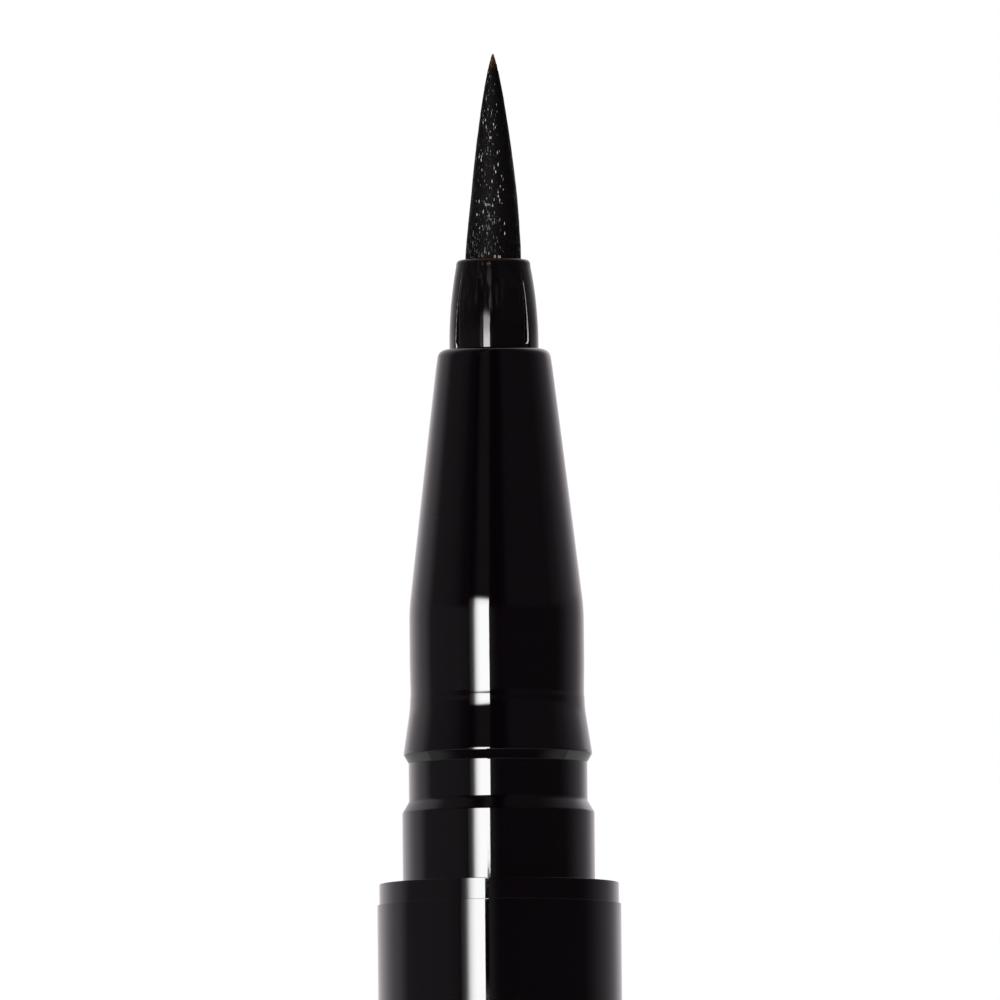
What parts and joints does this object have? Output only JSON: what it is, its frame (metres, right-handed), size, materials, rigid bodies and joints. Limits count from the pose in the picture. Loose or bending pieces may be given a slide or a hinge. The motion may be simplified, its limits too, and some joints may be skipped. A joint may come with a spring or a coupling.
{
  "type": "liquid eyeliner pen",
  "caption": "Slim liquid eyeliner pen with a fine bristle tip on a stepped front section, fed from an ink tank, standing in its posted cap.",
  "frame": {"origin": "centre of the cap's closed end, which the pen stands on", "axes": "+Z along the pen towards the bristle tip, -Y the side that the picture shows"},
  "size_m": [0.0104, 0.0104, 0.1635],
  "materials": {
    "sleeve_black": "high-gloss black outer sleeve",
    "front_black": "glossy black moulding",
    "moulded_black": "satin-gloss black moulding",
    "wet_bristle": "fine synthetic bristles wet with black ink",
    "natural_plastic": "uncoloured moulded plastic",
    "fibre": "bonded polyester fibre",
    "ball_steel": "polished stainless steel",
    "soft_liner": "soft uncoloured polyethylene"
  },
  "bodies": {
    "cap": {"cap_body": "moulded_black", "cap_sleeve": "sleeve_black", "inner_cap": "soft_liner"},
    "pen": {"tail_plug": "moulded_black", "ink_tank": "moulded_black", "barrel_sleeve": "sleeve_black", "ink_collector": "natural_plastic", "feed_wick": "fibre", "relay_pipe": "natural_plastic", "front_section": "front_black", "bristle_holder": "front_black", "brush_tip": "wet_bristle"},
    "ball_1": {"mixing_ball_1": "ball_steel"},
    "ball_2": {"mixing_ball_2": "ball_steel"}
  },
  "joints": [
    {"name": "pen_pull", "type": "slide", "parent": "cap", "child": "pen", "axis": [0, 0, 1], "range_m": [0, 0.03]},
    {"name": "ball_1_travel", "type": "slide", "parent": "pen", "child": "ball_1", "axis": [0, 0, 1], "range_m": [0, 0.0425]},
    {"name": "ball_2_travel", "type": "slide", "parent": "pen", "child": "ball_2", "axis": [0, 0, 1], "range_m": [0, 0.0425]}
  ]
}
